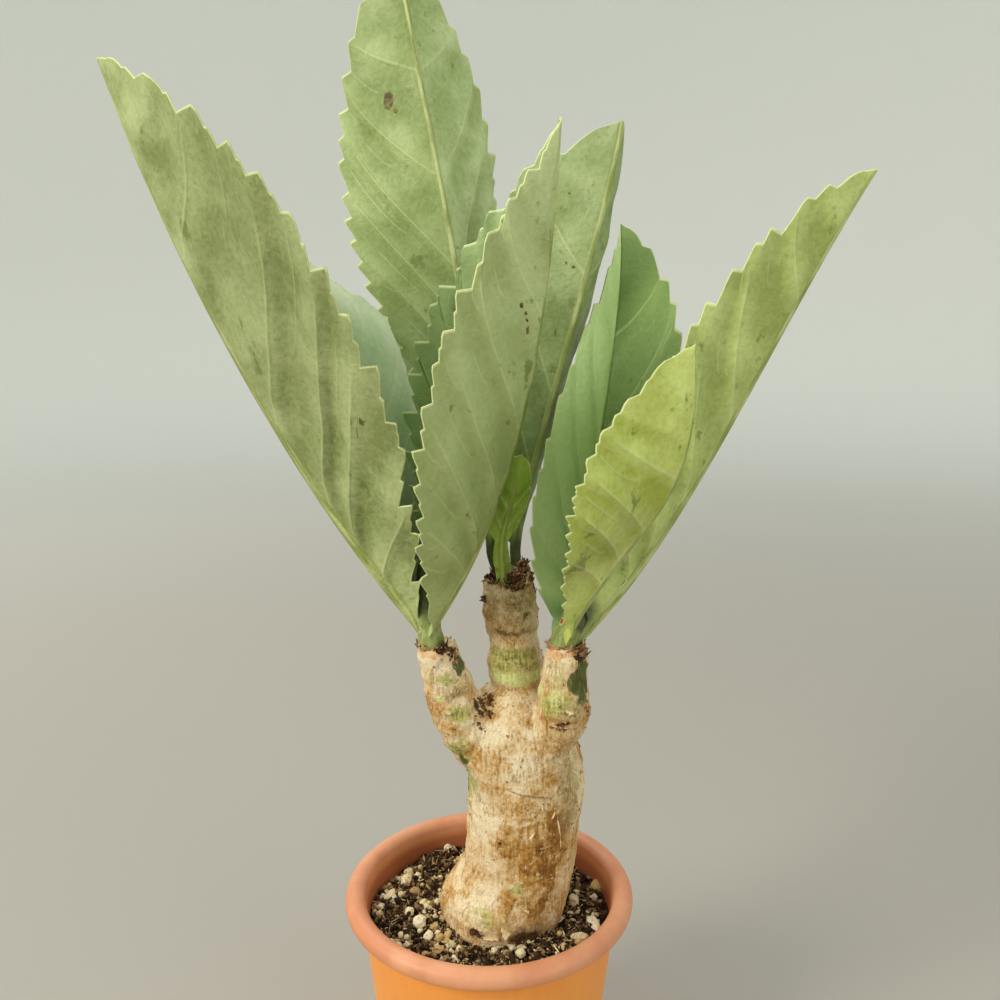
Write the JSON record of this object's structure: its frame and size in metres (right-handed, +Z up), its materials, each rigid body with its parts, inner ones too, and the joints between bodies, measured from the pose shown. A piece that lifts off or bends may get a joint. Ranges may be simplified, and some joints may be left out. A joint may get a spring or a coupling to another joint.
{
  "type": "potted cyphostemma juttae",
  "caption": "Caudex plant with a swollen branching trunk, peeling bark and folded, toothed fleshy leaves, standing in potting mix in a rolled-rim terracotta-coloured plastic pot",
  "frame": {"origin": "The middle of the flat underside of the pot, which stands on the surface", "axes": "+Z up along the pot's axis to the tallest leaf; -Y to the front, where the picture was taken from; +X to the right as seen from the front"},
  "size_m": [0.364, 0.213, 0.652],
  "materials": {
    "terracotta_plastic": "semi-matte moulded plastic, terracotta orange, with a soft sheen on the rolled rim",
    "potting_mix": "dark, crumbly, slightly damp mix of bark, peat and pale pumice grit",
    "bark": "papery, peeling, cream to golden-brown bark, dry and matte",
    "green_stem": "smooth, waxy green living stem",
    "leaf_glaucous": "fleshy leaf with a pale waxy bloom, yellow-green outside and bluish inside",
    "leaf_young": "fresh bright green young leaf, smooth and waxy"
  },
  "bodies": {
    "root": {"pot": "terracotta_plastic", "soil": "potting_mix", "trunk": "bark", "shoot_left": "green_stem", "shoot_center": "green_stem", "shoot_right": "green_stem", "leaf_left_outer": "leaf_glaucous", "leaf_left_inner": "leaf_glaucous", "leaf_center_tall": "leaf_glaucous", "leaf_center_right": "leaf_glaucous", "leaf_center_young": "leaf_young", "leaf_right_inner": "leaf_glaucous", "leaf_right_front": "leaf_glaucous", "leaf_right_outer": "leaf_glaucous"}
  },
  "joints": []
}
